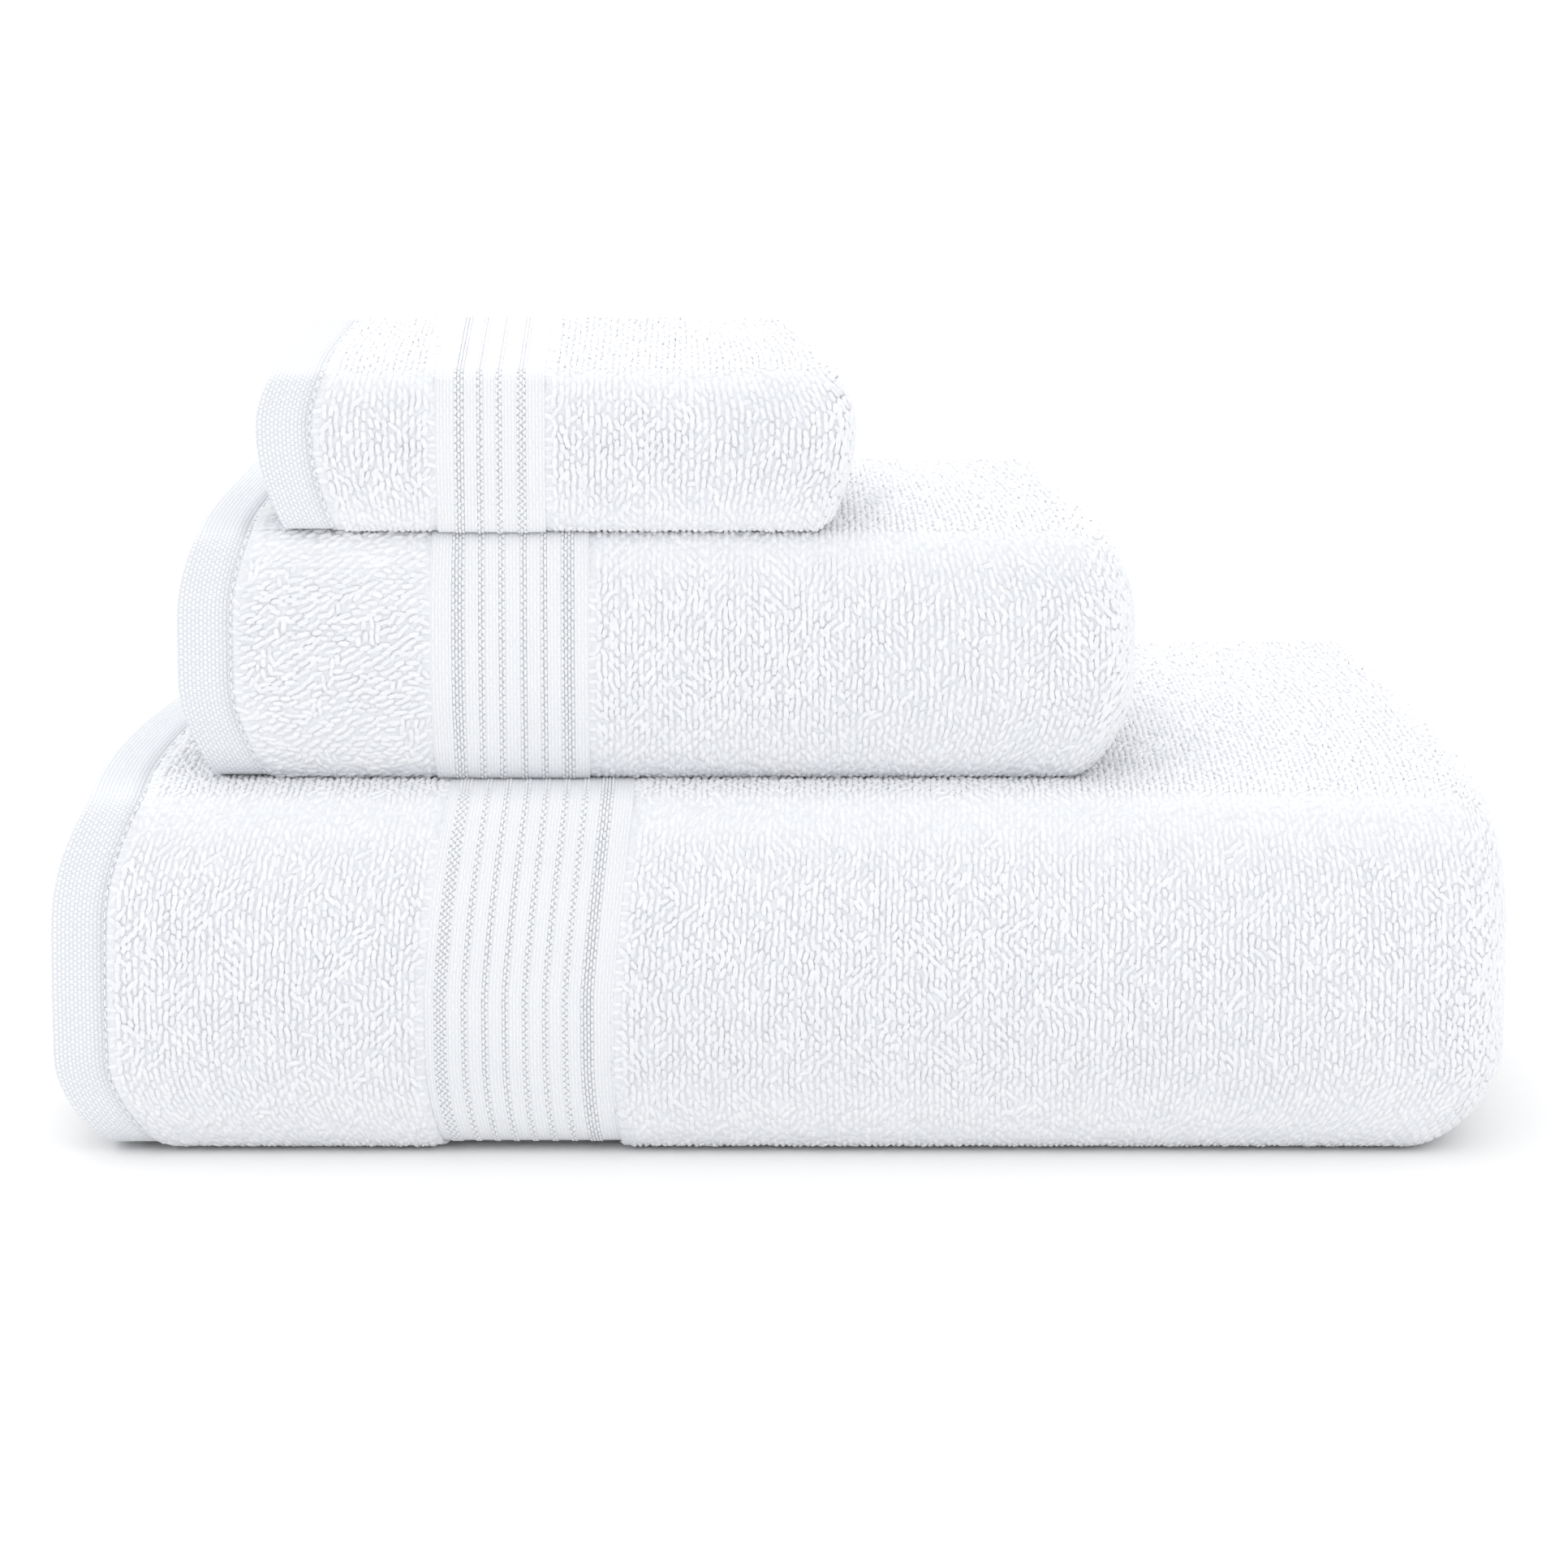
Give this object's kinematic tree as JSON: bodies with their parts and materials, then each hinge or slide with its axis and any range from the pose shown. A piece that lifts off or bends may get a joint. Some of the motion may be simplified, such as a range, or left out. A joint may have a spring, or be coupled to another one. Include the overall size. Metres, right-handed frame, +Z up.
{
  "type": "bath towel set",
  "caption": "Stack of folded white terry towels: a washcloth on a hand towel on a bath towel, each with hems and flat-woven striped borders.",
  "frame": {"origin": "middle of the stack's underside, under the bath towel", "axes": "+Z up, +X along the folded towels from the hem ends to the length folds, -Y out of the smooth front folds"},
  "size_m": [0.3867, 0.2043, 0.2104],
  "materials": {
    "terry": "white looped terry pile",
    "border": "white flat-woven border with fine grey-blue stripes",
    "hem": "white plain weave, turned and sewn",
    "thread": "white sewing thread"
  },
  "bodies": {
    "bath_towel": {"bath_terry_field": "terry", "bath_end_panel_front": "terry", "bath_end_panel_inner": "terry", "bath_border_front": "border", "bath_border_inner": "border", "bath_end_hem_front": "hem", "bath_end_hem_inner": "hem", "bath_side_hem_outer": "hem", "bath_side_hem_inner": "hem", "bath_end_hem_front_thread": "thread", "bath_end_hem_inner_thread": "thread", "bath_side_hem_outer_thread": "thread", "bath_side_hem_inner_thread": "thread"},
    "hand_towel": {"hand_terry_field": "terry", "hand_end_panel_front": "terry", "hand_end_panel_inner": "terry", "hand_border_front": "border", "hand_border_inner": "border", "hand_end_hem_front": "hem", "hand_end_hem_inner": "hem", "hand_side_hem_outer": "hem", "hand_side_hem_inner": "hem", "hand_end_hem_front_thread": "thread", "hand_end_hem_inner_thread": "thread", "hand_side_hem_outer_thread": "thread", "hand_side_hem_inner_thread": "thread"},
    "washcloth": {"wash_terry_field": "terry", "wash_end_panel_front": "terry", "wash_end_panel_inner": "terry", "wash_border_front": "border", "wash_border_inner": "border", "wash_end_hem_front": "hem", "wash_end_hem_inner": "hem", "wash_side_hem_outer": "hem", "wash_side_hem_inner": "hem", "wash_end_hem_front_thread": "thread", "wash_end_hem_inner_thread": "thread", "wash_side_hem_outer_thread": "thread", "wash_side_hem_inner_thread": "thread"}
  },
  "joints": [
    {"name": "hand_towel_lift", "type": "slide", "parent": "bath_towel", "child": "hand_towel", "axis": [0, 0, 1], "range_m": [0, 0.12]},
    {"name": "washcloth_lift", "type": "slide", "parent": "hand_towel", "child": "washcloth", "axis": [0, 0, 1], "range_m": [0, 0.1]}
  ]
}
